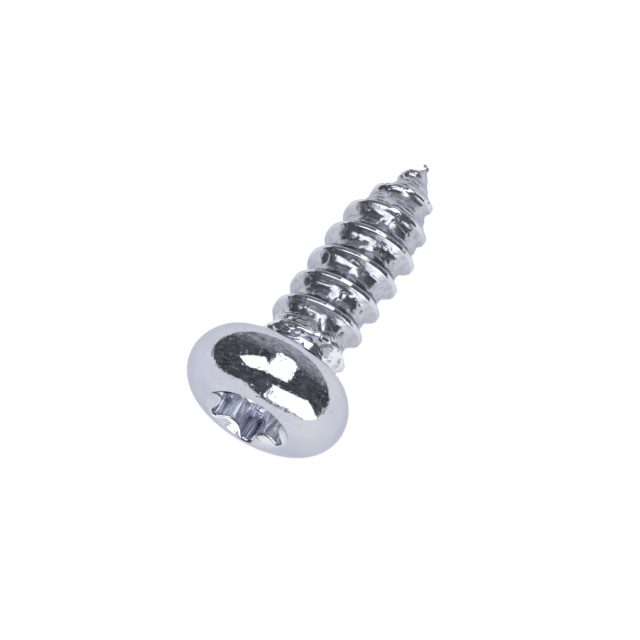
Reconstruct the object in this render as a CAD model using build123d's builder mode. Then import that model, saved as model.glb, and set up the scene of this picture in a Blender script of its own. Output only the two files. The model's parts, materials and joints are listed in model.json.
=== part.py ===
from build123d import *
import math
import os

# Pan head tapping screw with a six-lobe socket and a cone point, millimetres.
# It is modelled upright with the tip up and the bearing face at height zero,
# then laid on its side, the way it comes to rest on a table.

# Head
head_diameter = 7.7
head_height = 3.1
crown_radius = 8.7
shoulder_radius = 1.5
rim_overhang = 0.5

# Neck, from the bearing face to the thread
neck_diameter = 3.3
neck_fillet = 0.6
neck_length = 0.8
neck_taper = 0.4

# Shank and point
screw_length = 12.8
core_diameter = 3.3
point_angle = 45.0
tip_diameter = 0.24

# Thread, one start, right-hand
thread_diameter = 4.16
thread_pitch = 1.49
thread_angle = 60.0
crest_width = 0.14
ridge_root_depth = 0.2
run_in_start = 0.87
run_in_turn = 40.0
run_in_length = 0.67
taper_to_tip = 4.5
taper_angle = 17.0
taper_bulge = 0.25
thread_end_to_tip = 0.75

# Six-lobe socket
lobe_diameter = 3.95
lobe_height = 0.55
lobe_tip_radius = 0.29
socket_depth = 1.8
socket_floor_angle = 130.0
socket_turn = -1.7
lead_in_margin = 0.08
lead_in_angle = 130.0

# Sizes that follow from the ones above
head_radius = head_diameter / 2
bearing_radius = head_radius - rim_overhang
neck_radius = neck_diameter / 2
core_radius = core_diameter / 2
tip_radius = tip_diameter / 2
thread_radius = thread_diameter / 2
point_length = (core_radius - tip_radius) / math.tan(math.radians(point_angle / 2))

# The crown is an arc about a point on the axis. The shoulder is an arc inside
# it that turns upright at the rim, the widest ring of the head, and a third
# arc runs from the rim in to the edge of the bearing face.
shoulder_offset = head_radius - shoulder_radius
shoulder_rise = math.sqrt((crown_radius - shoulder_radius) ** 2 - shoulder_offset**2)
rim_height = head_height - crown_radius + shoulder_rise
shoulder_sweep = math.degrees(math.atan2(shoulder_rise, shoulder_offset))
under_radius = (rim_overhang**2 + rim_height**2) / (2 * rim_overhang)

with BuildPart() as blank:
    # Half section of head, neck, core and point, turned about the axis. It stands
    # to one side, so no seam runs along the line that the screw rests on.
    crown_top = (0, -head_height)
    rim = (head_radius, -rim_height)
    neck_corner = (neck_radius, 0)
    with BuildSketch(Plane.YZ) as section:
        with BuildLine():
            TangentArc(rim, (bearing_radius, 0), tangent=(0, 1))
            shoulder = JernArc(rim, (0, -1), shoulder_radius, -shoulder_sweep)
            TangentArc(shoulder @ 1, crown_top, tangent=shoulder % 1)
            Polyline(
                crown_top,
                (0, screw_length),
                (tip_radius, screw_length),
                (core_radius, screw_length - point_length),
                (core_radius, neck_length + neck_taper),
                (neck_radius, neck_length),
                neck_corner,
                (bearing_radius, 0),
            )
        make_face()
        fillet(section.vertices().sort_by_distance(neck_corner)[0], neck_fillet)
    revolve(axis=Axis.Z)

    # Lead-in, a shallow cone that starts where it meets the crown
    lobe_radius = lobe_diameter / 2
    lead_in_radius = lobe_radius + lead_in_margin
    lead_in_top = crown_radius - head_height - math.sqrt(crown_radius**2 - lead_in_radius**2)
    lead_in_depth = lead_in_radius / math.tan(math.radians(lead_in_angle / 2))
    with BuildSketch(Plane.YZ):
        with BuildLine():
            Polyline(
                crown_top,
                (lead_in_radius, -head_height),
                (lead_in_radius, lead_in_top),
                (0, lead_in_top + lead_in_depth),
                close=True,
            )
        make_face()
    revolve(axis=Axis.Z, mode=Mode.SUBTRACT)

    # Socket wall, six small round lobes with a wide round valley between each two.
    # The valley's radius makes it tangent to both of its lobes.
    lobe_offset = lobe_radius - lobe_tip_radius
    valley_inner = lobe_radius - lobe_height
    lobe_reach = lobe_offset * math.cos(math.radians(30))
    valley_radius = (lobe_offset**2 + valley_inner**2 - 2 * lobe_reach * valley_inner - lobe_tip_radius**2) / (
        2 * (lobe_reach + lobe_tip_radius - valley_inner)
    )
    valley_offset = valley_inner + valley_radius
    valley_x = valley_offset * math.cos(math.radians(30)) - lobe_offset
    valley_y = valley_offset * math.sin(math.radians(30))
    lobe_half_sweep = math.degrees(math.atan2(valley_y, valley_x))
    with BuildSketch(Plane.XY.offset(-head_height)):
        with BuildLine():
            for lobe in range(6):
                turn = socket_turn + 60 * lobe
                lobe_centre = Vector(lobe_offset, 0).rotate(Axis.Z, turn)
                valley_centre = Vector(valley_offset, 0).rotate(Axis.Z, turn + 30)
                CenterArc(lobe_centre, lobe_tip_radius, turn - lobe_half_sweep, 2 * lobe_half_sweep)
                CenterArc(valley_centre, valley_radius, turn + 180 + lobe_half_sweep, 60 - 2 * lobe_half_sweep)
        make_face()
    extrude(amount=socket_depth, mode=Mode.SUBTRACT)

    # Socket floor, a cone as wide as the valleys are apart
    floor_depth = valley_inner / math.tan(math.radians(socket_floor_angle / 2))
    floor_height = socket_depth - head_height
    with BuildSketch(Plane.YZ):
        with BuildLine():
            Polyline((0, floor_height), (valley_inner, floor_height), (0, floor_height + floor_depth), close=True)
        make_face()
    revolve(axis=Axis.Z, mode=Mode.SUBTRACT)

# The thread is one ridge of constant section in three runs that share their
# end faces: it rises out of the neck, turns at full height, and comes in with
# the point. Its root stays inside the core all the way.
ridge_depth = thread_radius - core_radius + ridge_root_depth
ridge_root_half = crest_width / 2 + ridge_depth * math.tan(math.radians(thread_angle / 2))
run_in_end = run_in_start + run_in_length
run_in_slope = math.degrees(math.atan2(thread_radius - core_radius, run_in_length))
taper_start = screw_length - taper_to_tip
taper_length = taper_to_tip - thread_end_to_tip
turn_at_full = run_in_turn + 360 * run_in_length / thread_pitch
turn_at_taper = turn_at_full + 360 * (taper_start - run_in_end) / thread_pitch


def ridge_section(height):
    """Outline of the ridge in the plane of the axis, with its crest at a height."""
    root = thread_radius - ridge_depth
    return Polyline(
        (root, height - ridge_root_half),
        (thread_radius, height - crest_width / 2),
        (thread_radius, height + crest_width / 2),
        (root, height + ridge_root_half),
        close=True,
    )


def pitch_on_cone(slope):
    """Pitch along the cone's side that keeps the pitch along the axis."""
    return thread_pitch / math.cos(math.radians(slope))


with BuildPart() as run_in:
    with BuildLine():
        run_in_path = Helix(
            pitch_on_cone(run_in_slope),
            run_in_length,
            thread_radius,
            center=(0, 0, run_in_end),
            direction=(0, 0, -1),
            cone_angle=-run_in_slope,
        )
    with BuildSketch(Plane(origin=(0, 0, 0), x_dir=(-1, 0, 0), z_dir=(0, 1, 0))):
        with BuildLine():
            ridge_section(run_in_end)
        make_face()
    sweep(path=run_in_path, is_frenet=True)

with BuildPart() as full_turns:
    with BuildLine():
        full_path = Helix(thread_pitch, taper_start - run_in_end, thread_radius, center=(0, 0, run_in_end))
    with BuildSketch(Plane.XZ):
        with BuildLine():
            ridge_section(run_in_end)
        make_face()
    sweep(path=full_path, is_frenet=True)

with BuildPart() as taper:
    with BuildLine():
        taper_path = Helix(
            pitch_on_cone(taper_angle), taper_length, thread_radius, center=(0, 0, taper_start), cone_angle=-taper_angle
        )
    with BuildSketch(Plane.XZ):
        with BuildLine():
            ridge_section(taper_start)
        make_face()
    sweep(path=taper_path, is_frenet=True)

    # The crests come in along a gentle arc, which trims the last turn
    with BuildSketch(Plane.XZ):
        with BuildLine():
            SagittaArc((tip_radius, screw_length), (thread_radius, taper_start), taper_bulge)
            Polyline(
                (tip_radius, screw_length),
                (0, screw_length),
                (0, taper_start - thread_pitch),
                (thread_radius, taper_start - thread_pitch),
                (thread_radius, taper_start),
            )
        make_face()
    revolve(axis=Axis.Z, mode=Mode.INTERSECT)

# The screw standing on its axis, with each run of thread turned into line
with BuildPart() as upright:
    add(blank.part)
    add(run_in.part, rotation=(0, 0, turn_at_full - 180))
    add(full_turns.part, rotation=(0, 0, turn_at_full))
    add(taper.part, rotation=(0, 0, turn_at_taper))


def tilt_onto(height, radius):
    """Tip-down tilt that lays the head's under arc and a crest on one line."""
    along = height + rim_height
    across = radius - (head_radius - under_radius)
    return math.degrees(math.asin(under_radius / math.hypot(along, across)) - math.atan2(across, along))


# At rest the rim of the head and one crest touch the table. The crests that
# face it lie a pitch apart, and the first to touch sets the tilt.
turns_before_taper = math.floor(turn_at_taper / 360)
last_full_crest = run_in_start + (turns_before_taper - run_in_turn / 360) * thread_pitch
next_crest = last_full_crest + thread_pitch
next_crest_radius = thread_radius - (next_crest - taper_start) * math.tan(math.radians(taper_angle))
rest_tilt = min(
    tilt_onto(last_full_crest + crest_width / 2, thread_radius),
    tilt_onto(next_crest + crest_width / 2, next_crest_radius),
)

# The screw at rest, with its tip towards +X and the bearing face's centre kept
with BuildPart() as screw:
    add(upright.part, rotation=(0, 90 + rest_tilt, 0))

os.makedirs("parts", exist_ok=True)
screw.part.label = "screw"
export_step(screw.part, "parts/screw.step")
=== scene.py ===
import json
import math

import bpy
import numpy as np
from mathutils import Matrix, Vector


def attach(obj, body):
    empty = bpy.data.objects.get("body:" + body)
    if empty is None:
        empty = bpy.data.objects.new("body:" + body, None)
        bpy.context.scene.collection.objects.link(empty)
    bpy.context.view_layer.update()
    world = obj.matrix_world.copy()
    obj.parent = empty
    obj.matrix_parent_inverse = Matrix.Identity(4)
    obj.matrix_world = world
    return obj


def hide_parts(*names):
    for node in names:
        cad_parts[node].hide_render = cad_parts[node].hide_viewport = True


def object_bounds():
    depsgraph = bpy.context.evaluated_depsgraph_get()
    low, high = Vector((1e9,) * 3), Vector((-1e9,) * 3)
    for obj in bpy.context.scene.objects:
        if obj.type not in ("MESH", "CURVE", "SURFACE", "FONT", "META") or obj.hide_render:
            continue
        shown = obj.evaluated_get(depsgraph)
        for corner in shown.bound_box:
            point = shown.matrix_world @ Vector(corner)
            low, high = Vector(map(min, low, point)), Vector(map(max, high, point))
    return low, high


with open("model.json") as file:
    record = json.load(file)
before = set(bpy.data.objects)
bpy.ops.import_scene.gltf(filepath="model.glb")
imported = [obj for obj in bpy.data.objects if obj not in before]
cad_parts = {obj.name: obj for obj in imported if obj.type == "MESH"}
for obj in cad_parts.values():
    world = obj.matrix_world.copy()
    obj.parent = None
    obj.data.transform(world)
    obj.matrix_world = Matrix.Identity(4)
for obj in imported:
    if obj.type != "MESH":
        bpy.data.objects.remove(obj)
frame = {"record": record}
cad_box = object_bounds()

# A pan head tapping screw with a six-lobe socket, plated with bright zinc. It is modelled
# upright in millimetres, with the bearing face at height zero and the tip up, then laid down.
MM = 0.001

# The driving sizes are the solid's, apart from a ridge that is a little wider, a socket that is
# a little smaller and a thread that ends a little sooner, as on this one screw.

# Head
HEAD_RADIUS = 3.85
HEAD_HEIGHT = 3.1
CROWN_RADIUS = 8.7
SHOULDER_RADIUS = 1.5
RIM_OVERHANG = 0.5

# Neck, from the bearing face to the thread
NECK_RADIUS = 1.65
NECK_FILLET = 0.6
NECK_LENGTH = 0.8
NECK_TAPER = 0.4

# Shank and point
SCREW_LENGTH = 12.8
CORE_RADIUS = 1.65
POINT_ANGLE = 45.0
TIP_RADIUS = 0.12
POINT_ROUNDING = 0.25

# Thread, one start, right-hand
THREAD_RADIUS = 2.08
PITCH = 1.49
THREAD_ANGLE = 62.0
CREST_WIDTH = 0.14
CREST_ROUNDING = 0.03
ROOT_ROUNDING = 0.45
RUN_IN_START = 0.87
RUN_IN_TURN = 40.0
RUN_IN_LENGTH = 0.67
TAPER_START = 8.3
TAPER_ANGLE = 17.0
TAPER_BULGE = 0.25
THREAD_END = 12.0
# Where the thread ends it sinks into the point, from a little before its end to a little after
RUN_OUT_BEFORE = 0.35
RUN_OUT_AFTER = 0.15
RUN_OUT_DEPTH = 0.9

# Six-lobe socket
LOBE_RADIUS = 1.95
LOBE_HEIGHT = 0.55
LOBE_TIP_RADIUS = 0.29
SOCKET_DEPTH = 1.8
SOCKET_FLOOR_ANGLE = 130.0
SOCKET_TURN = -1.7
LEAD_IN_MARGIN = 0.11
LEAD_IN_ANGLE = 130.0

# Softened edges: where the socket's wall meets the lead-in cone and the floor, where the cone
# meets the top of the head, and round the bearing face
SOCKET_EDGE = 0.09
FOOT_RISE = 0.03
FOOT_INSIDE = 0.012
LEDGE_INSIDE = 0.02
LEAD_IN_INSIDE = 0.02
LEAD_IN_OUTSIDE = 0.03
BEARING_INSIDE = 0.01
BEARING_RISE = 0.015
UNDER_SHARE = 0.95

# Particular to this screw
# The socket was struck off the axis of the head
SOCKET_SHIFT = np.array([0.17, 0.18, 0.0])
# The head leans on its shank, about a point inside it
HEAD_LEAN = math.radians(4.7)
LEAN_POINT = -1.9
# Towards the tip its crests dip inside their trimmed arc, not at all at one height and fully at
# the next
CREST_DIP = 0.05
CREST_DIP_START = 8.5
CREST_DIP_END = 10.0
# The point is pinched off short of its full length and is bent to one side
PINCH_END = 12.36
PINCH_RADIUS = 0.1
PINCH_SLOPE = 0.6
PINCH_ROUNDING = 0.1
BEND_START = 10.2
BEND_RATE = 0.015
# It ends in a thin burr, which leans out and curls back over the point along a Bezier curve,
# given along the axis and aside
BURR_CURVE = np.array([(0.0, 0.0), (0.16, -0.16), (0.26, 0.04), (0.217, 0.219)])
# Its radius at shares of the way along it
BURR_RINGS = (
    (0.0, 0.1),
    (0.08, 0.09),
    (0.17, 0.08),
    (0.27, 0.075),
    (0.37, 0.07),
    (0.47, 0.06),
    (0.57, 0.055),
    (0.67, 0.055),
    (0.76, 0.065),
    (0.84, 0.078),
    (0.9, 0.08),
    (0.95, 0.066),
    (0.98, 0.042),
)

# Every ring of the mesh has this many points
COLUMNS = 240
STEP = 2 * math.pi / COLUMNS
EVEN_ANGLES = np.arange(COLUMNS) * STEP
# The thread's mesh lies between two level rings, at these heights
RING_CLEARANCE = 0.02
LOW = NECK_FILLET + RING_CLEARANCE
HIGH = PINCH_END - RING_CLEARANCE
TINY = 1e-9


# Small tools for shapes

LATTICE_SIZE = 24
LATTICE = np.random.RandomState(11).rand(LATTICE_SIZE, LATTICE_SIZE, LATTICE_SIZE)
LATTICE_OFFSET = np.array([3.7, 8.1, 5.3])


def noise(points, size, seed):
    """Smooth noise from -1 to 1, with features about size mm across."""
    place = points / size + LATTICE_OFFSET * (seed + 1)
    cell = np.floor(place).astype(int)
    part = place - cell
    part = part * part * (3 - 2 * part)
    total = 0
    for corner in range(8):
        step = np.array([corner & 1, corner >> 1 & 1, corner >> 2 & 1])
        weight = np.prod(np.where(step == 1, part, 1 - part), axis=-1)
        x, y, z = np.moveaxis((cell + step) % LATTICE_SIZE, -1, 0)
        total = total + weight * LATTICE[x, y, z]
    return 2 * total - 1


def creases(points, size, seed):
    """Folds, from -1 in the middle of a fold to 1 between folds."""
    return 1 - 2 * (1 - np.abs(noise(points, size, seed))) ** 3


def smooth_max(a, b, width):
    """The larger of two values, with a rounding this wide where they meet."""
    near = np.maximum(width - np.abs(a - b), 0) / width
    return np.maximum(a, b) + near * near * width / 4


def smooth_min(a, b, width):
    """The smaller of two values, with a rounding this wide where they meet."""
    return -smooth_max(-a, -b, width)


def smooth_step(value, low, high):
    """From 0 at low to 1 at high, level at both ends."""
    part = np.clip((value - low) / (high - low), 0, 1)
    return part * part * (3 - 2 * part)


def tan_half(angle):
    """Tangent of half an angle in degrees."""
    return math.tan(math.radians(angle / 2))


# Outline of the socket

LOBES = 6
LOBE_TO_LOBE = 2 * math.pi / LOBES
LOBE_TO_VALLEY = LOBE_TO_LOBE / 2

# Between each two small round lobes is a wide round valley, whose radius makes it tangent to both
lobe_offset = LOBE_RADIUS - LOBE_TIP_RADIUS
valley_inner = LOBE_RADIUS - LOBE_HEIGHT
lobe_reach = lobe_offset * math.cos(LOBE_TO_VALLEY)
valley_radius = (lobe_offset**2 + valley_inner**2 - 2 * lobe_reach * valley_inner - LOBE_TIP_RADIUS**2) / (
    2 * (lobe_reach + LOBE_TIP_RADIUS - valley_inner)
)
valley_offset = valley_inner + valley_radius
valley_x = valley_offset * math.cos(LOBE_TO_VALLEY) - lobe_offset
valley_y = valley_offset * math.sin(LOBE_TO_VALLEY)
lobe_half_sweep = math.atan2(valley_y, valley_x)


def arc(offset, direction, radius, start, sweep, count):
    """Points of an arc, without its last, whose centre is offset from the axis in a direction."""
    angles = start + sweep * np.arange(count) / count
    x = offset * math.cos(direction) + radius * np.cos(angles)
    y = offset * math.sin(direction) + radius * np.sin(angles)
    return np.column_stack([x, y])


def contour(grow):
    """The socket's outline, grown outwards by grow mm."""
    on_lobe = COLUMNS // LOBES // 2
    on_valley = COLUMNS // LOBES - on_lobe
    valley_sweep = LOBE_TO_LOBE - 2 * lobe_half_sweep
    arcs = []
    for lobe in range(LOBES):
        turn = math.radians(SOCKET_TURN) + LOBE_TO_LOBE * lobe
        lobe_start = turn - lobe_half_sweep
        valley_start = turn + math.pi + lobe_half_sweep
        arcs.append(arc(lobe_offset, turn, LOBE_TIP_RADIUS + grow, lobe_start, 2 * lobe_half_sweep, on_lobe))
        valley = turn + LOBE_TO_VALLEY
        arcs.append(arc(valley_offset, valley, valley_radius - grow, valley_start, valley_sweep, on_valley))
    return np.concatenate(arcs)


outline = contour(0.0)
outline_angles = np.unwrap(np.arctan2(outline[:, 1], outline[:, 0]))
# The head's first column lies as many steps round from the thread's as suits the socket
HEAD_STEPS = round((outline_angles.mean() - EVEN_ANGLES.mean()) / STEP)


# Head, as rings from the middle of the socket floor to the neck


def ring(radius, height, spread=1.0):
    """A round ring, with its points at the angles of the socket's outline (0) or even ones (1)."""
    angles = outline_angles * (1 - spread) + (EVEN_ANGLES + HEAD_STEPS * STEP) * spread
    return np.column_stack([radius * np.cos(angles), radius * np.sin(angles), np.full(COLUMNS, height)])


def arc_rings(across, height, radius, angles):
    """Rings along an arc about a centre that lies across from the axis at a height."""
    return [ring(across + radius * math.cos(a), height + radius * math.sin(a)) for a in angles]


def crown_height(radius):
    """Height of the head's top at a distance from the axis."""
    return CROWN_RADIUS - HEAD_HEIGHT - np.sqrt(CROWN_RADIUS**2 - radius**2)


lead_in_radius = LOBE_RADIUS + LEAD_IN_MARGIN
lead_in_top = crown_height(lead_in_radius)
socket_floor = SOCKET_DEPTH - HEAD_HEIGHT
socket_centre = socket_floor + valley_inner / tan_half(SOCKET_FLOOR_ANGLE)


def on_lead_in(places, above=0.0):
    """Points over flat places, on the lead-in cone or above it."""
    radii = np.hypot(places[:, 0], places[:, 1])
    heights = lead_in_top + (lead_in_radius - radii) / tan_half(LEAD_IN_ANGLE)
    return np.column_stack([places, heights + above])


def floor_rings():
    """The coned middle of the socket floor and the flat ledge round it."""
    rings = []
    for share in (0.2, 0.4, 0.6, 0.8, 0.96):
        deeper = (socket_centre - socket_floor) * (1 - share)
        rings.append(ring(valley_inner * share, socket_floor + deeper, 0))
    ledge_inside = ring(valley_inner, socket_floor, 0)
    ledge_outside = np.column_stack([contour(-LEDGE_INSIDE), np.full(COLUMNS, socket_floor)])
    for share in (0.4, 0.8):
        rings.append(ledge_inside * (1 - share) + ledge_outside * share)
    return rings


def wall_rings():
    """The socket's wall, with a small rounding at its foot and one where it meets the lead-in cone."""
    foot = np.column_stack([contour(-FOOT_INSIDE), np.full(COLUMNS, socket_floor)])
    wall_foot = np.column_stack([outline, np.full(COLUMNS, socket_floor - FOOT_RISE)])
    wall_top = on_lead_in(outline, SOCKET_EDGE)
    rings = [foot]
    for share in (0.04, 0.12, 0.25, 0.4, 0.55, 0.7, 0.85, 0.94):
        rings.append(wall_foot * (1 - share) + wall_top * share)
    for share in (0.0, 0.25, 0.5, 0.75, 1.0):
        rings.append(on_lead_in(contour(SOCKET_EDGE * share**2), SOCKET_EDGE * (1 - share) ** 2))
    return rings


def lead_in_rings():
    """The lead-in cone, from the socket's rounded edge to just inside the top of the head."""
    inside = contour(SOCKET_EDGE)
    outside = ring(lead_in_radius - LEAD_IN_INSIDE, 0, 0)[:, :2]
    return [on_lead_in(inside * (1 - share) + outside * share) for share in (0.2, 0.4, 0.6, 0.8, 1.0)]


# The shoulder is an arc that turns upright at the rim, and the underside is another that runs
# from the rim in to the bearing face
shoulder_offset = HEAD_RADIUS - SHOULDER_RADIUS
shoulder_rise = math.sqrt((CROWN_RADIUS - SHOULDER_RADIUS) ** 2 - shoulder_offset**2)
rim_height = HEAD_HEIGHT - CROWN_RADIUS + shoulder_rise
shoulder_sweep = math.atan2(shoulder_rise, shoulder_offset)
under_radius = (RIM_OVERHANG**2 + rim_height**2) / (2 * RIM_OVERHANG)
under_sweep = math.asin(rim_height / under_radius)


def crown_rings():
    """The top of the head, which takes up the shift of the socket."""
    crown_end = shoulder_offset + SHOULDER_RADIUS * math.cos(shoulder_sweep)
    rings = []
    for share in np.linspace(0, 1, 10):
        radius = (lead_in_radius + LEAD_IN_OUTSIDE) * (1 - share) + crown_end * share
        top = ring(radius, 0, smooth_step(share, 0, 1)) + SOCKET_SHIFT * (1 - share)
        top[:, 2] = crown_height(np.hypot(top[:, 0], top[:, 1]))
        rings.append(top)
    return rings


def bearing_rings():
    """The softened outer edge of the bearing face and the flat of it."""
    edge = HEAD_RADIUS - RIM_OVERHANG
    softened = ring(edge - BEARING_INSIDE, -BEARING_RISE)
    return [softened] + [ring(edge - inside, 0.0) for inside in (0.05, 0.35, 0.7)]


socket_rings = [points + SOCKET_SHIFT for points in floor_rings() + wall_rings() + lead_in_rings()]
shoulder_angles = np.linspace(-shoulder_sweep, 0, 24)[1:]
under_angles = np.linspace(0, under_sweep * UNDER_SHARE, 10)[1:]
fillet_angles = np.linspace(-math.pi / 2, -math.pi, 9)

head_rings = socket_rings + crown_rings()
head_rings += arc_rings(shoulder_offset, -rim_height, SHOULDER_RADIUS, shoulder_angles)
head_rings += arc_rings(HEAD_RADIUS - under_radius, -rim_height, under_radius, under_angles)
head_rings += bearing_rings()
head_rings += arc_rings(NECK_RADIUS + NECK_FILLET, NECK_FILLET, NECK_FILLET, fillet_angles)
head_rings.append(ring(NECK_RADIUS, LOW))


# Thread, in rows along the helix, so that its crest is one clean line of edges

# How far the rows lie from the crest line, as shares of the pitch, closest together at the crest
ROWS_ASIDE = (0.017, 0.034, 0.055, 0.08, 0.11, 0.14, 0.17, 0.2, 0.235, 0.27, 0.31, 0.355, 0.4, 0.45, 0.5)


def core_at(height):
    """Radius of neck, core and point without the thread."""
    past_neck = smooth_step(height, NECK_LENGTH, NECK_LENGTH + NECK_TAPER)
    shank = NECK_RADIUS + (CORE_RADIUS - NECK_RADIUS) * past_neck
    cone = TIP_RADIUS + (SCREW_LENGTH - height) * tan_half(POINT_ANGLE)
    pinched = PINCH_RADIUS + np.maximum(PINCH_END - height, 0) * PINCH_SLOPE
    return smooth_min(smooth_min(shank, cone, POINT_ROUNDING), pinched, PINCH_ROUNDING)


def trimmed_at(height):
    """Radius of the gentle arc that trims the crests from the start of the taper to the tip."""
    chord = math.hypot(THREAD_RADIUS - TIP_RADIUS, SCREW_LENGTH - TAPER_START)
    arc_radius = (chord**2 / 4 + TAPER_BULGE**2) / (2 * TAPER_BULGE)
    middle = np.array([THREAD_RADIUS + TIP_RADIUS, TAPER_START + SCREW_LENGTH]) / 2
    inward = np.array([TAPER_START - SCREW_LENGTH, TIP_RADIUS - THREAD_RADIUS]) / chord
    centre = middle + inward * (arc_radius - TAPER_BULGE)
    return centre[0] + np.sqrt(np.maximum(arc_radius**2 - (height - centre[1]) ** 2, 0))


def crest_at(height):
    """Radius of the crest line where it passes a height."""
    run_in = CORE_RADIUS + (THREAD_RADIUS - CORE_RADIUS) * (height - RUN_IN_START) / RUN_IN_LENGTH
    cone = THREAD_RADIUS - math.tan(math.radians(TAPER_ANGLE)) * (height - TAPER_START)
    dip = CREST_DIP * smooth_step(height, CREST_DIP_START, CREST_DIP_END)
    tapered = np.minimum(trimmed_at(height), cone) - dip
    return np.where(height > TAPER_START, tapered, np.minimum(run_in, THREAD_RADIUS))


def turns_at(height):
    """How many turns the crest line has made when it passes a height."""
    return (height - RUN_IN_START) / PITCH + RUN_IN_TURN / 360


# Grids with one line for each column of the thread and one place on it for each row
first_column = math.floor((turns_at(LOW) - 0.5) * COLUMNS) - 1
last_column = math.ceil((turns_at(HIGH) + 0.5) * COLUMNS) + 1
columns = np.arange(first_column, last_column + 1)
rows_across = np.array([-aside for aside in reversed(ROWS_ASIDE)] + [0.0] + list(ROWS_ASIDE))
turns, across = np.meshgrid(columns / COLUMNS, rows_across, indexing="ij")
crest_line = RUN_IN_START + PITCH * (turns - RUN_IN_TURN / 360)
full_heights = crest_line + across * PITCH
heights = np.clip(full_heights, LOW, HIGH)

# The ridge falls away from its rounded crest
from_crest = np.maximum(np.abs(heights - crest_line) - CREST_WIDTH / 2, 0)
from_crest = np.sqrt(from_crest**2 + CREST_ROUNDING**2) - CREST_ROUNDING
ridge = crest_at(crest_line) - from_crest / tan_half(THREAD_ANGLE)
ridge -= RUN_OUT_DEPTH * smooth_step(crest_line, THREAD_END - RUN_OUT_BEFORE, THREAD_END + RUN_OUT_AFTER)
radii = smooth_max(core_at(heights), ridge, ROOT_ROUNDING)
angles = 2 * math.pi * turns
thread_points = np.stack([radii * np.cos(angles), radii * np.sin(angles), heights], -1)

# How much each point carries the crest's painted highlight and smoother plate: all along the crest
# and a little way down its flanks, but not at the thread's ends
HIGHLIGHT_ASIDE = (0.08, 0.17)
HIGHLIGHT_FROM = (1.2, 1.6)
HIGHLIGHT_TO = (11.4, 11.8)
highlight_and_gloss_grid = 1 - smooth_step(np.abs(heights - crest_line), *HIGHLIGHT_ASIDE)
highlight_and_gloss_grid *= smooth_step(crest_line, *HIGHLIGHT_FROM) * (1 - smooth_step(crest_line, *HIGHLIGHT_TO))


# One closed mesh

blocks = []
faces = []


def add_points(points):
    """Adds a block of points to the mesh and gives the number of its first."""
    start = sum(len(block) for block in blocks)
    blocks.append(points)
    return start


def join_rings(near, far):
    """Faces between two rings, each given by the number of its first point."""
    for i in range(COLUMNS):
        j = (i + 1) % COLUMNS
        faces.append((near + i, near + j, far + j, far + i))


def close_ring(start, end_point, outwards):
    """Faces from a ring to a point in its middle, in the sense of the ring (outwards) or against it."""
    for i in range(COLUMNS):
        j = (i + 1) % COLUMNS
        a, b = (i, j) if outwards else (j, i)
        faces.append((start + a, start + b, end_point))


def even_ring(radius, height):
    """A ring whose columns go on from the thread's."""
    return np.array([(radius * math.cos(a), radius * math.sin(a), height) for a in EVEN_ANGLES])


def thread_numbers(low_ring, high_ring, thread_start):
    """Numbers of the thread's points, and which of its places have a point of their own."""
    around = columns % COLUMNS
    low = full_heights <= LOW + TINY
    high = full_heights >= HIGH - TINY
    between = ~(low | high)
    own = between.copy()
    own[:, -1] = False
    numbers = np.zeros(own.shape, dtype=int)
    numbers[own] = thread_start + np.arange(own.sum())
    numbers = np.where(low, (low_ring + (around - HEAD_STEPS) % COLUMNS)[:, None], numbers)
    numbers = np.where(high, (high_ring + around)[:, None], numbers)
    # The last row of a turn is the first row of the next
    shared = np.flatnonzero(between[:, -1])
    numbers[shared, -1] = numbers[shared + COLUMNS, 0]
    return numbers, own


def join_thread(numbers):
    """Faces of the thread, with triangles or nothing where it runs out on a level ring."""
    corners = (numbers[:-1, :-1], numbers[1:, :-1], numbers[1:, 1:], numbers[:-1, 1:])
    for quad in np.stack(corners, -1).reshape(-1, 4).tolist():
        loop = [number for n, number in enumerate(quad) if number != quad[n - 1]]
        if len(set(loop)) == len(loop) and len(loop) > 2:
            faces.append(tuple(loop))


centre_point = add_points(SOCKET_SHIFT + np.array([[0.0, 0.0, socket_centre]]))
head_start = add_points(np.concatenate(head_rings))
close_ring(head_start, centre_point, outwards=False)
for number in range(len(head_rings) - 1):
    join_rings(head_start + number * COLUMNS, head_start + (number + 1) * COLUMNS)
low_ring = head_start + (len(head_rings) - 1) * COLUMNS

high_ring = add_points(even_ring(float(core_at(np.array(HIGH))), HIGH))
thread_start = high_ring + COLUMNS
numbers, own = thread_numbers(low_ring, high_ring, thread_start)
add_points(thread_points[own])
join_thread(numbers)

previous = high_ring
for share, radius in BURR_RINGS:
    burr_ring = add_points(even_ring(radius, PINCH_END + (SCREW_LENGTH - PINCH_END) * share))
    join_rings(previous, burr_ring)
    previous = burr_ring
tip_point = add_points(np.array([[0.0, 0.0, SCREW_LENGTH]]))
close_ring(previous, tip_point, outwards=True)

points = np.concatenate(blocks)
mesh = bpy.data.meshes.new("zinc_screw")
mesh.from_pydata(points.tolist(), [], faces)
mesh.validate()
mesh.update()


# Folds and rolling marks, raised along the normals

height = points[:, 2]


def relief_at(points):
    """How far each point stands proud of its plain surface. All amounts and sizes are in mm."""
    reach = np.hypot(points[:, 0], points[:, 1])
    on_shank = smooth_step(height, 0.25, 0.7)
    near_head = on_shank * (1 - smooth_step(height, 1.8, 2.5))
    on_core = on_shank * (1 - smooth_step(reach, 1.75, 1.95)) * smooth_step(reach, 0.1, 0.5)
    on_crest = on_shank * smooth_step(reach, 1.9, 2.05)
    in_socket = (1 - on_shank) * (1 - smooth_step(reach, 1.7, 1.95)) * (height < 0)
    # Rolling draws the folds out round the shank
    rolled = points * np.array([0.6, 0.6, 1.5])
    relief = 0.06 * near_head * creases(rolled, 0.46, 1)
    relief += 0.02 * near_head * noise(points, 0.22, 7)
    relief += 0.024 * on_core * creases(rolled, 0.3, 2)
    relief += 0.016 * on_core * noise(rolled, 0.16, 3)
    relief += 0.008 * on_crest * noise(points, 0.18, 4)
    relief += 0.004 * (1 - on_shank) * noise(points, 0.7, 5)
    relief += 0.006 * in_socket * noise(points, 0.4, 6)
    return relief


normals = np.zeros(len(points) * 3)
mesh.vertices.foreach_get("normal", normals)
points = points + normals.reshape(-1, 3) * relief_at(points)[:, None]


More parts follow.
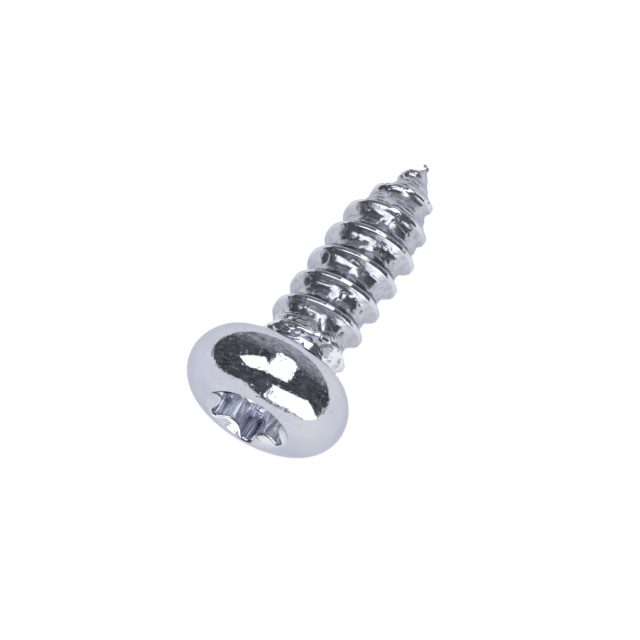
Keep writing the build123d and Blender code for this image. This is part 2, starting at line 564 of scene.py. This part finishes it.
# The screw's axis as it lies at rest, towards the tip, from the frame's bearing face

bearing_face = next(mount for mount in frame["record"]["mounts"] if mount["name"] == "bearing_face")
tilt = math.atan2(-bearing_face["axis"][2], bearing_face["axis"][0])
axis = np.array([math.cos(tilt), 0.0, -math.sin(tilt)])


# View, looking down on the screw

# Between the line of sight and the screw's axis
VIEW_ANGLE = math.radians(64.0)
# Between the axis and the picture's upright
AXIS_ROLL = math.radians(35.725)
PIXELS_PER_MM = 22.49
VIEW_DISTANCE = 250.0
# Where the middle of the bearing face lies in the picture
ORIGIN_PX = (282.75, 372.0)
IMAGE_PX = 640
SENSOR_WIDTH = 36

# The line of sight's heading over the floor from the axis, and how far it drops below level
heading = math.asin(math.sin(VIEW_ANGLE) * math.sin(AXIS_ROLL) / math.cos(tilt))
level_part = math.cos(tilt) * math.cos(heading)
axis_drop = math.atan2(math.sin(tilt), level_part)
drop = axis_drop + math.acos(math.cos(VIEW_ANGLE) / math.hypot(level_part, math.sin(tilt)))

# Directions over the floor as the camera sees it, and the picture's own
away = np.array([math.cos(heading), math.sin(heading), 0.0])
front = -away
right = np.array([math.sin(heading), -math.cos(heading), 0.0])
zenith = np.array([0.0, 0.0, 1.0])
look = away * math.cos(drop) - zenith * math.sin(drop)
picture_up = away * math.sin(drop) + zenith * math.cos(drop)
# Square to the axis in the picture, to the left of the tip
aside = picture_up * math.sin(AXIS_ROLL) - right * math.cos(AXIS_ROLL)


# Lay the screw down, with its lean, its bend and its burr


def laid_down(points):
    """Turns upright points onto the axis at rest."""
    turn = math.pi / 2 + tilt
    to_rest = np.array([[math.cos(turn), 0, math.sin(turn)], [0, 1, 0], [-math.sin(turn), 0, math.cos(turn)]])
    return points @ to_rest.T


def with_lean(laid):
    """Turns the head about an upright line through a point of the axis inside it."""
    lean = HEAD_LEAN * (1 - smooth_step(height, 0.1, 1.3))
    pivot = axis * LEAN_POINT
    x, y, z = (laid - pivot).T
    leaning = np.column_stack([x * np.cos(lean) - y * np.sin(lean), x * np.sin(lean) + y * np.cos(lean), z])
    return leaning + pivot


def bend_at(height):
    """How far aside the point is bent at a height."""
    return BEND_RATE * np.maximum(height - BEND_START, 0) ** 2


def with_burr(laid):
    """Bends the point aside and sets the burr's rings square to their Bezier curve."""
    share = np.clip((height - PINCH_END) / (SCREW_LENGTH - PINCH_END), 0, 1)
    rest = 1 - share
    weights = np.stack([rest**3, 3 * share * rest**2, 3 * share**2 * rest, share**3], -1)
    slope_weights = np.stack([rest**2, 2 * share * rest, share**2], -1)
    onward = weights @ BURR_CURVE
    slopes = slope_weights @ np.diff(BURR_CURVE, axis=0)
    lean = np.arctan2(slopes[:, 1], slopes[:, 0]) * smooth_step(share, 0, 0.15)
    outward = np.cos(lean)[:, None] * aside - np.sin(lean)[:, None] * axis
    across = np.cross(axis, aside)
    spoke = laid - (laid @ axis)[:, None] * axis
    curled = axis * (PINCH_END + onward[:, :1]) + aside * (bend_at(PINCH_END) + onward[:, 1:])
    curled += (spoke @ aside)[:, None] * outward + (spoke @ across)[:, None] * across
    return np.where((share > 0)[:, None], curled, laid + bend_at(height)[:, None] * aside)


laid = with_burr(with_lean(laid_down(points)))
mesh.vertices.foreach_set("co", (laid * MM).ravel())
# Per point, where the crest's painted highlight and smoother plate go
highlight_and_gloss = np.zeros(len(points))
highlight_and_gloss[thread_start : thread_start + own.sum()] = highlight_and_gloss_grid[own]
mesh.attributes.new("highlight_and_gloss", "FLOAT", "POINT").data.foreach_set("value", highlight_and_gloss)
mesh.update()
screw = bpy.data.objects.new("zinc_screw", mesh)
bpy.context.scene.collection.objects.link(screw)
for face in mesh.polygons:
    face.use_smooth = True
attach(screw, "root")
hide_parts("screw")


# Small tools for materials


def node(tree, kind, **values):
    """A new node with its own properties or its named input sockets set."""
    made = tree.nodes.new(kind)
    for name, value in values.items():
        if hasattr(made, name):
            setattr(made, name, value)
        else:
            made.inputs[name.replace("_", " ")].default_value = value
    return made


def maths(tree, operation, a, b):
    """An operation on two outputs."""
    made = node(tree, "ShaderNodeMath", operation=operation)
    tree.links.new(a, made.inputs[0])
    tree.links.new(b, made.inputs[1])
    return made.outputs["Value"]


def vector_maths(tree, operation, vector, fixed):
    """An operation on an output and a fixed vector."""
    made = node(tree, "ShaderNodeVectorMath", operation=operation)
    tree.links.new(vector, made.inputs[0])
    made.inputs[1].default_value = tuple(fixed)
    return made.outputs["Value" if operation == "DOT_PRODUCT" else "Vector"]


def length_of(tree, vector):
    """The length of a vector output."""
    made = node(tree, "ShaderNodeVectorMath", operation="LENGTH")
    tree.links.new(vector, made.inputs[0])
    return made.outputs["Value"]


def noise_over(tree, place, size, detail, roughness=0.5):
    """Noise over the object with features about size mm across."""
    made = node(tree, "ShaderNodeTexNoise", Scale=1 / (size * MM), Detail=detail, Roughness=roughness)
    tree.links.new(place, made.inputs["Vector"])
    return made.outputs["Fac"]


def ramp(tree, value, stops):
    """Colours, or greys given by one number, at places along a value."""
    made = tree.nodes.new("ShaderNodeValToRGB")
    while len(made.color_ramp.elements) < len(stops):
        made.color_ramp.elements.new(0.5)
    for element, (at, colour) in zip(made.color_ramp.elements, stops):
        element.position = at
        element.color = (*colour, 1) if isinstance(colour, tuple) else (colour, colour, colour, 1)
    tree.links.new(value, made.inputs["Fac"])
    return made.outputs["Color"]


def band(tree, value, low, high, to_low=0.0, to_high=1.0):
    """A value from low to high taken to the range from to_low to to_high."""
    made = node(tree, "ShaderNodeMapRange", From_Min=low, From_Max=high, To_Min=to_low, To_Max=to_high)
    tree.links.new(value, made.inputs["Value"])
    return made.outputs["Result"]


def mixed(tree, factor, a, b, kind="FLOAT"):
    """Output a where the factor is 0 and b where it is 1."""
    inputs, output = {"FLOAT": ((2, 3), 0), "RGBA": ((6, 7), 2)}[kind]
    made = node(tree, "ShaderNodeMix", data_type=kind)
    tree.links.new(factor, made.inputs[0])
    tree.links.new(a, made.inputs[inputs[0]])
    tree.links.new(b, made.inputs[inputs[1]])
    return made.outputs[output]


# Zinc plate: cloudy on the head, darker on the thread, duller where it was rolled or struck and smoother on
# the crests, with a painted highlight along the crests and painted light in the socket and on the folds under
# the head


def screw_parts(tree, place):
    """Masks of the thread, its crest, the socket and the folds under the head, with limits in mm."""
    along = vector_maths(tree, "DOT_PRODUCT", place, axis / MM)
    from_axis = length_of(tree, vector_maths(tree, "CROSS_PRODUCT", place, axis / MM))
    thread = band(tree, along, 0.0, 0.5)
    crest = node(tree, "ShaderNodeAttribute", attribute_name="highlight_and_gloss").outputs["Fac"]
    inside = maths(tree, "MULTIPLY", band(tree, from_axis, 2.05, 1.9), band(tree, along, -2.75, -2.6))
    socket = maths(tree, "MULTIPLY", inside, band(tree, along, 0.5, 0.0))
    folds = maths(tree, "MULTIPLY", band(tree, along, 0.2, 0.6), band(tree, along, 2.3, 1.6))
    return thread, crest, socket, folds


def zinc_colour(tree, place, parts):
    """Colour of the plate on each part of the screw."""
    thread, crest, socket, folds = parts
    clouds = noise_over(tree, place, 1.6, 3)
    mottling = noise_over(tree, place, 0.35, 4, 0.6)
    cloudy = [(0.3, (0.53, 0.55, 0.64)), (0.5, (0.57, 0.585, 0.665)), (0.7, (0.61, 0.615, 0.675))]
    plate = ramp(tree, clouds, cloudy)
    # A darker, mottled plate on the thread
    darker_thread = ramp(tree, mottling, [(0.35, (0.42, 0.435, 0.5)), (0.6, (0.54, 0.55, 0.62))])
    # Painted highlight: a lighter plate along the crest that stands in for the light it shows
    painted_crest_highlight = ramp(tree, clouds, [(0.3, (0.6, 0.615, 0.68)), (0.7, (0.7, 0.715, 0.775))])
    # Painted light: a lighter plate in the socket and on the folds under the head, standing in for the light
    # they reflect
    struck_and_lightened = ramp(tree, clouds, [(0.3, (0.74, 0.765, 0.82)), (0.7, (0.82, 0.84, 0.89))])
    colour = mixed(tree, thread, plate, darker_thread, "RGBA")
    colour = mixed(tree, crest, colour, painted_crest_highlight, "RGBA")
    colour = mixed(tree, socket, colour, struck_and_lightened, "RGBA")
    return mixed(tree, folds, colour, struck_and_lightened, "RGBA")


def zinc_roughness(tree, place, parts):
    """Roughness of the plate on each part of the screw."""
    thread, crest, socket, folds = parts
    smears = noise_over(tree, place, 0.6, 4, 0.6)
    polished = ramp(tree, smears, [(0.35, 0.06), (0.6, 0.09), (0.75, 0.15)])
    rolled = ramp(tree, smears, [(0.3, 0.16), (0.55, 0.24), (0.75, 0.34)])
    struck_and_lightened = ramp(tree, smears, [(0.3, 0.14), (0.75, 0.26)])
    highlight_and_gloss = ramp(tree, smears, [(0.3, 0.1), (0.75, 0.2)])
    roughness = mixed(tree, thread, polished, rolled)
    roughness = mixed(tree, crest, roughness, highlight_and_gloss)
    roughness = mixed(tree, socket, roughness, struck_and_lightened)
    return mixed(tree, folds, roughness, highlight_and_gloss)


def zinc_bump(tree, place):
    """The plate's gentle peel, with scattered pits."""
    peel = node(tree, "ShaderNodeBump", Strength=1.0, Distance=0.0062 * MM)
    tree.links.new(noise_over(tree, place, 0.24, 2), peel.inputs["Height"])
    pits = node(tree, "ShaderNodeBump", Strength=1.0, Distance=0.007 * MM)
    pitted = ramp(tree, noise_over(tree, place, 0.22, 2, 0.6), [(0.27, 0.0), (0.37, 1.0)])
    tree.links.new(pitted, pits.inputs["Height"])
    tree.links.new(peel.outputs["Normal"], pits.inputs["Normal"])
    return pits.outputs["Normal"]


def zinc_plate():
    """The screw's one material."""
    zinc = bpy.data.materials.new("zinc_plate")
    zinc.use_nodes = True
    tree = zinc.node_tree
    shader = tree.nodes["Principled BSDF"]
    shader.inputs["Metallic"].default_value = 1.0
    shader.inputs["Specular Tint"].default_value = (0.7, 0.72, 0.78, 1)
    place = tree.nodes.new("ShaderNodeTexCoord").outputs["Object"]
    parts = screw_parts(tree, place)
    tree.links.new(zinc_colour(tree, place, parts), shader.inputs["Base Color"])
    tree.links.new(zinc_roughness(tree, place, parts), shader.inputs["Roughness"])
    tree.links.new(zinc_bump(tree, place), shader.inputs["Normal"])
    return zinc


mesh.materials.append(zinc_plate())


# Floor: a white sheet that ends a little way in front of the head

# Its corners, as how far in front of the screw and how far to its right they are, in metres. The
# near edge runs across in front of the head, and from a corner there it turns off to the right.
SHEET_EDGE = ((0.262, -2.0), (0.015, -0.003), (0.085, 0.057), (0.165, 0.4), (0.165, 2.0))
SHEET_BACK = ((-2.0, 2.0), (-2.0, -2.0))
SHEET_WHITE = 0.93
GAP_WIDTH = 0.0017


def on_floor(places):
    """World points of places on the floor."""
    return [tuple(front * ahead + right * across + zenith * cad_box[0][2]) for ahead, across in places]


def flat_piece(name, places, faces, material):
    """An object made of flat faces on the floor."""
    flat = bpy.data.meshes.new(name)
    flat.from_pydata(on_floor(places), [], faces)
    flat.materials.append(material)
    made = bpy.data.objects.new(name, flat)
    bpy.context.scene.collection.objects.link(made)
    return made


def white_paper():
    """Paper whose white shows to the camera and in the metal, and lights nothing."""
    paper = bpy.data.materials.new("paper")
    paper.use_nodes = True
    tree = paper.node_tree
    shader = tree.nodes["Principled BSDF"]
    shader.inputs["Base Color"].default_value = (0.12, 0.12, 0.12, 1)
    shader.inputs["Roughness"].default_value = 0.9
    shader.inputs["Emission Color"].default_value = (1, 1, 1, 1)
    rays = tree.nodes.new("ShaderNodeLightPath").outputs
    shown = maths(tree, "MAXIMUM", rays["Is Camera Ray"], rays["Is Glossy Ray"])
    shown = maths(tree, "MAXIMUM", shown, rays["Is Transmission Ray"])
    white = node(tree, "ShaderNodeMath", operation="MULTIPLY")
    white.inputs[1].default_value = SHEET_WHITE
    tree.links.new(shown, white.inputs[0])
    tree.links.new(white.outputs["Value"], shader.inputs["Emission Strength"])
    return paper


def dark_shade():
    """The shade in the gap along the sheet's edge."""
    shade = bpy.data.materials.new("shade")
    shade.use_nodes = True
    shade.node_tree.nodes["Principled BSDF"].inputs["Base Color"].default_value = (0.03, 0.03, 0.035, 1)
    return shade


sheet_corners = SHEET_EDGE + SHEET_BACK
floor = flat_piece("floor", sheet_corners, [tuple(range(len(sheet_corners)))], white_paper())

# A dark gap along the sheet's edge, seen only in the metal
edge_count = len(SHEET_EDGE)
gap_outside = tuple((ahead + GAP_WIDTH, across + GAP_WIDTH / 2) for ahead, across in SHEET_EDGE)
gap_faces = [(i, i + 1, i + 1 + edge_count, i + edge_count) for i in range(edge_count - 1)]
gap = flat_piece("gap", SHEET_EDGE + gap_outside, gap_faces, dark_shade())
gap.visible_camera = False


# World: white behind the screw to the camera, and a dark uneven room to all else


def dark_room(tree, background):
    """Sets the room's colour, which is lighter far away on the right, and its uneven strength."""
    direction = tree.nodes.new("ShaderNodeTexCoord").outputs["Generated"]
    facing = vector_maths(tree, "DOT_PRODUCT", direction, away * 0.87 + right * 0.49)
    colour = ramp(tree, facing, [(0.4, (0.088, 0.088, 0.096)), (0.95, (0.4, 0.4, 0.43))])
    clutter = node(tree, "ShaderNodeTexNoise", Scale=9.0, Detail=3.0, Roughness=0.6)
    tree.links.new(colour, background.inputs["Color"])
    tree.links.new(band(tree, clutter.outputs["Fac"], 0.35, 0.65, 0.5, 1.8), background.inputs["Strength"])


def studio():
    """The world, with the room and the white backdrop."""
    world = bpy.data.worlds.new("studio")
    world.use_nodes = True
    tree = world.node_tree
    room = tree.nodes["Background"]
    dark_room(tree, room)
    backdrop = node(tree, "ShaderNodeBackground", Color=(1, 1, 1, 1))
    rays = tree.nodes.new("ShaderNodeLightPath").outputs
    either = tree.nodes.new("ShaderNodeMixShader")
    tree.links.new(rays["Is Camera Ray"], either.inputs["Fac"])
    tree.links.new(room.outputs[0], either.inputs[1])
    tree.links.new(backdrop.outputs[0], either.inputs[2])
    tree.links.new(either.outputs[0], tree.nodes["World Output"].inputs["Surface"])
    return world


bpy.context.scene.world = studio()


# Lamps: soft rectangles, above and in front, that show as bright patches in the metal

LAMP_LEVEL = 1.9
LAMP_DISTANCE = 0.5


def placed(thing, columns, place):
    """Gives an object a place and the directions of its own axes."""
    matrix = np.eye(4)
    matrix[:3, :3] = np.column_stack(columns)
    matrix[:3, 3] = place
    thing.matrix_world = Matrix(matrix.tolist())


def lamp(name, facing, moved, length_axis, width, length):
    """A lamp that stands off in one direction and is moved aside, with its length along an axis."""
    data = bpy.data.lights.new(name, "AREA")
    data.shape = "RECTANGLE"
    data.size = width
    data.size_y = length
    data.energy = LAMP_LEVEL * math.pi * width * length
    made = bpy.data.objects.new(name, data)
    bpy.context.scene.collection.objects.link(made)
    lengthwise = length_axis - facing * (length_axis @ facing)
    lengthwise = lengthwise / np.linalg.norm(lengthwise)
    placed(made, [np.cross(lengthwise, facing), lengthwise, facing], facing * LAMP_DISTANCE + moved)


lamp("lamp_over", zenith, right * 0.118 + front * 0.012, front * 0.872 - right * 0.49, 0.28, 0.84)
lamp("lamp_left", zenith, right * -0.335 + front * 0.12, front + right * 0.12, 0.52, 0.40)
lamp("lamp_corner", front, right * -0.175 - zenith * 0.031, zenith * 0.973 + right * 0.229, 0.2, 0.5)
lamp("lamp_front", front, right * -0.027 - zenith * 0.038, zenith + right * 0.14, 0.465, 0.525)


# Camera, placed so that the middle of the bearing face lies at its pixel

origin_right = (ORIGIN_PX[0] - IMAGE_PX / 2) / PIXELS_PER_MM
origin_up = (IMAGE_PX / 2 - ORIGIN_PX[1]) / PIXELS_PER_MM
camera_place = -(right * origin_right + picture_up * origin_up) - look * VIEW_DISTANCE

camera_data = bpy.data.cameras.new("camera")
camera_data.sensor_width = SENSOR_WIDTH
camera_data.lens = SENSOR_WIDTH * PIXELS_PER_MM * VIEW_DISTANCE / IMAGE_PX
camera_data.clip_start = 0.01
camera_data.clip_end = 10
camera = bpy.data.objects.new("camera", camera_data)
bpy.context.scene.collection.objects.link(camera)
placed(camera, [right, picture_up, -look], camera_place * MM)
bpy.context.scene.camera = camera
bpy.context.scene.view_settings.view_transform = "Standard"
